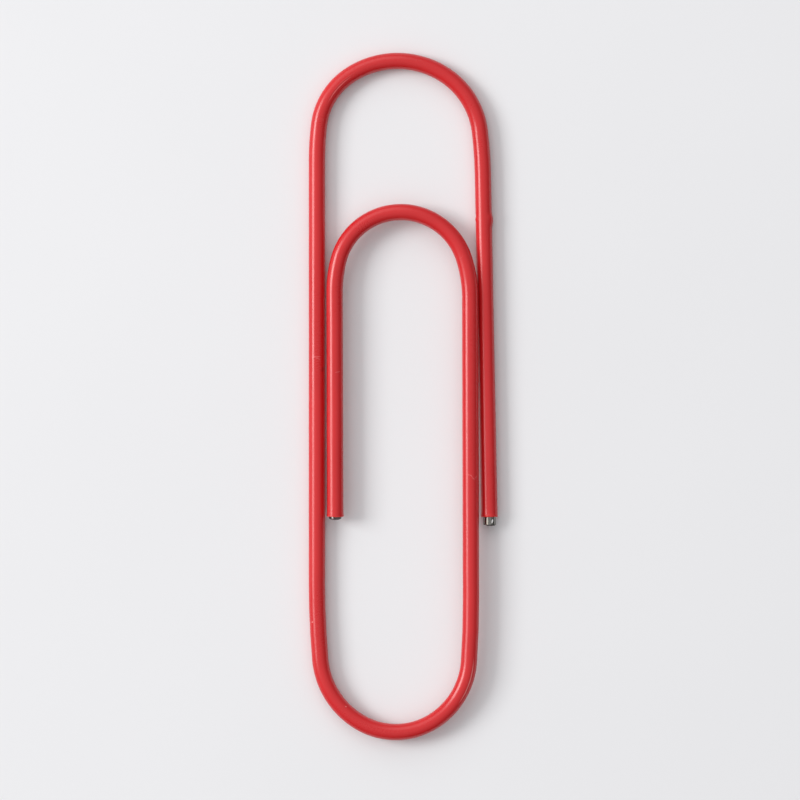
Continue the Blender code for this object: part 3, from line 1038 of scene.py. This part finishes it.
# %% Card
FLOOR_SIZE = 3.0
PAPER_DIM = (0.80, 0.80, 0.81, 1.0)
PAPER_PALE = (0.83, 0.83, 0.84, 1.0)
alone()
bpy.ops.mesh.primitive_plane_add(size=FLOOR_SIZE, location=(0.0, 0.0, -0.00001))
card = bpy.context.object
card.name = "card"
paper, tree, shader = new_material("pale_card")
in_place = tree.nodes.new("ShaderNodeTexCoord").outputs["Object"]
cloud = noise(tree, in_place, 18.0, 2.0)
put(tree, blend_colour(tree, cloud, PAPER_DIM, PAPER_PALE), shader.inputs["Base Color"])
shader.inputs["Roughness"].default_value = 0.75
shader.inputs["Specular IOR Level"].default_value = 0.2
card.data.materials.append(paper)
card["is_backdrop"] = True
print("card", FLOOR_SIZE, "m wide")

# %% [markdown]
# ## The light
# One soft box to the left and a little above gives the long highlight and the soft shadow to the
# right. A wider and weaker one stands beyond the top end: it lights the upper half of each bend and
# softens the shadow outside it. The room fills the rest. It is brightest overhead, like a ceiling of
# diffusers, and dim near the horizon, so a wire hardly darkens the floor beside it and its far side
# reflects something dim, which keeps the red deep. Past the edge of the card a pale backdrop shows,
# which lights nothing. The Standard view shows each colour as it is mixed, where the filmic views
# turn a strong red on a pale ground pink.

# %% Soft boxes and world


def soft_box(name, azimuth, elevation, distance, width, depth, power):
    """An area light that faces the clip, from an azimuth counted from +X."""
    light = bpy.data.lights.new(name, "AREA")
    light.shape = "RECTANGLE"
    light.size = width
    light.size_y = depth
    light.energy = power
    lamp = bpy.data.objects.new(name, light)
    turn, lift = math.radians(azimuth), math.radians(elevation)
    lamp.location = (distance * math.cos(lift) * math.cos(turn),
                     distance * math.cos(lift) * math.sin(turn), distance * math.sin(lift))
    lamp.rotation_euler = (-lamp.location).to_track_quat("-Z", "Y").to_euler()
    bpy.context.scene.collection.objects.link(lamp)


# The room's strengths: all round, seen past the card, from above and from the upper left.
HORIZON_LIGHT = 0.18
BACKDROP = 0.84
OVERHEAD_LIGHT = 0.62
WINDOW_LIGHT = 0.24
ROOM_TINT = (0.985, 0.985, 1.0, 1.0)
soft_box("key_box", azimuth=168, elevation=35, distance=1.35, width=0.60, depth=0.52, power=11.6)
soft_box("top_box", azimuth=112, elevation=38, distance=1.35, width=1.08, depth=0.95, power=3.0)
world = bpy.data.worlds.new("pale_room")
world.use_nodes = True
room = world.node_tree
direction = room.nodes.new("ShaderNodeSeparateXYZ")
put(room, room.nodes.new("ShaderNodeTexCoord").outputs["Generated"], direction.inputs[0])
upwards = math_node(room, "MAXIMUM", direction.outputs["Z"], 0.0)
overhead = math_node(room, "MULTIPLY", upwards, OVERHEAD_LIGHT)
to_window = math_node(room, "SUBTRACT", math_node(room, "MULTIPLY", direction.outputs["Y"], 0.7),
                      math_node(room, "MULTIPLY", direction.outputs["X"], 0.7))
sideways = math_node(room, "MULTIPLY", to_window, WINDOW_LIGHT)
room_light = math_node(room, "ADD", math_node(room, "ADD", overhead, sideways), HORIZON_LIGHT)
seen = math_node(room, "MULTIPLY", room.nodes.new("ShaderNodeLightPath").outputs["Is Camera Ray"], BACKDROP)
put(room, math_node(room, "MAXIMUM", room_light, seen), room.nodes["Background"].inputs["Strength"])
room.nodes["Background"].inputs["Color"].default_value = ROOM_TINT
bpy.context.scene.world = world
bpy.context.scene.view_settings.view_transform = "Standard"

# %% [markdown]
# ## The camera
# The clip is seen from straight above through a long lens, which keeps the legs parallel. The
# distance follows from the width that the view covers and the angle of the lens.

# %% Camera
VIEW_WIDTH = 0.11641
VIEW_CENTRE = (-0.000464, -0.000530)
LENS = 200.0
SENSOR = 36.0
lens = bpy.data.cameras.new("above")
lens.lens = LENS
lens.sensor_width = SENSOR
lens.clip_start = 0.01
camera = bpy.data.objects.new("above", lens)
camera.location = (*VIEW_CENTRE, VIEW_WIDTH * LENS / SENSOR + top_crown.z)
bpy.context.scene.collection.objects.link(camera)
bpy.context.scene.camera = camera
print("camera", round(camera.location.z, 4), "m up")

# %% [markdown]
# ## Sizes
# The visual clip has to be the size of the modelled one. Both boxes are printed side by side.

# %% Print the sizes
bpy.context.view_layer.update()
visual_box = [list(corner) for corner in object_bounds()]
for name, box in (("cad", cad_box), ("visual", visual_box)):
    print(name, [round((high - low) * 1000, 3) for low, high in zip(*box)], "mm")
